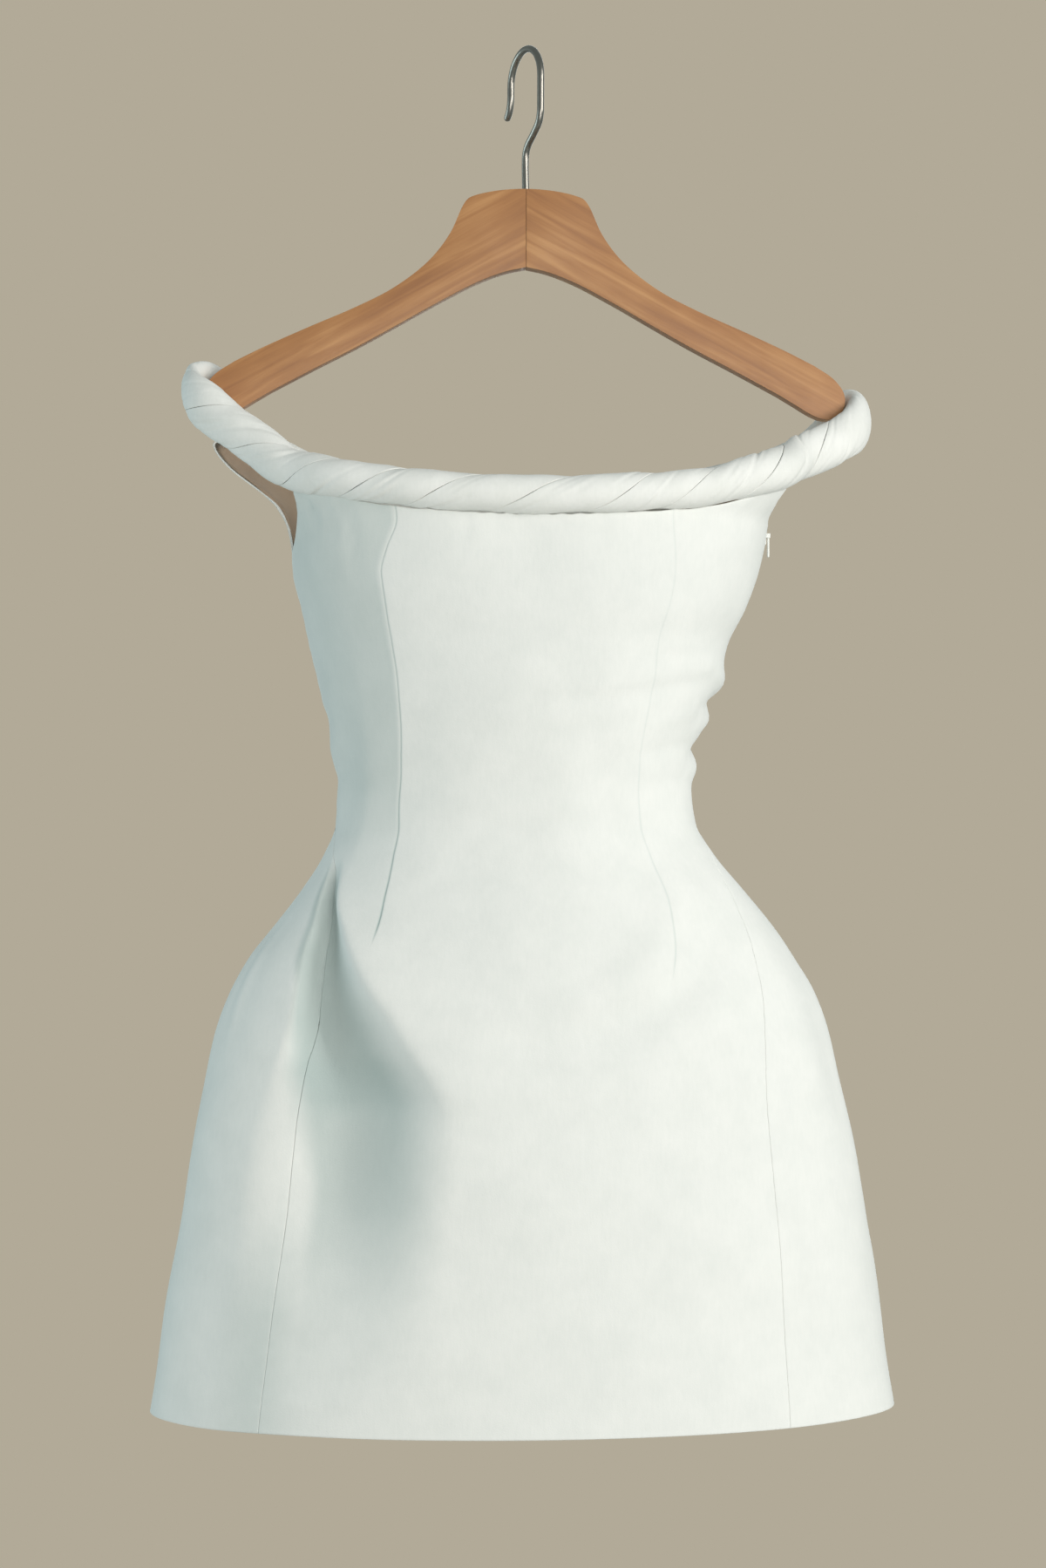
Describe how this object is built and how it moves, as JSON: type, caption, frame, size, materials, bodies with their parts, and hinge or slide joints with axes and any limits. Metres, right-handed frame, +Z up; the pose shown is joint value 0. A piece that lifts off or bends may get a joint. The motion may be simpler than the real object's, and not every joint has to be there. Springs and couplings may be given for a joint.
{
  "type": "off-shoulder mini dress on a wooden hanger",
  "caption": "Sleeveless off-shoulder mini dress with a twisted neck band, nipped waist, flared side gores and a side zip, hung by its band on a wooden hanger.",
  "frame": {"origin": "inner top of the hanger's hook, where a rod bears", "axes": "+Z up; the dress's front faces -Y; +X is the wearer's left, on the right of a front view"},
  "size_m": [0.529, 0.2338, 0.9674],
  "materials": {
    "crepe": "matte crepe",
    "band_crepe": "matte crepe over padding",
    "nude_facing": "soft matte lining weave",
    "zip_tape": "matte woven tape",
    "coated_zip": "cloth-coloured coating",
    "oiled_wood": "oiled, low sheen",
    "steel_wire": "bright drawn wire"
  },
  "bodies": {
    "root": {"front_panel": "crepe", "back_panel": "crepe", "side_gore_left": "crepe", "side_gore_right": "crepe", "back_facing": "nude_facing", "twist_strand_a": "band_crepe", "twist_strand_b": "band_crepe", "zip_tape": "zip_tape", "zip_slider": "coated_zip", "hanger_arm_left": "oiled_wood", "hanger_arm_right": "oiled_wood", "hanger_hook": "steel_wire"},
    "pull": {"zip_pull": "coated_zip"}
  },
  "joints": [
    {"name": "pull_hinge", "type": "hinge", "parent": "root", "child": "pull", "pos_m": [0.17371, 0, -0.3425], "axis": [0, -1, 0], "range_deg": [0, 150]}
  ]
}
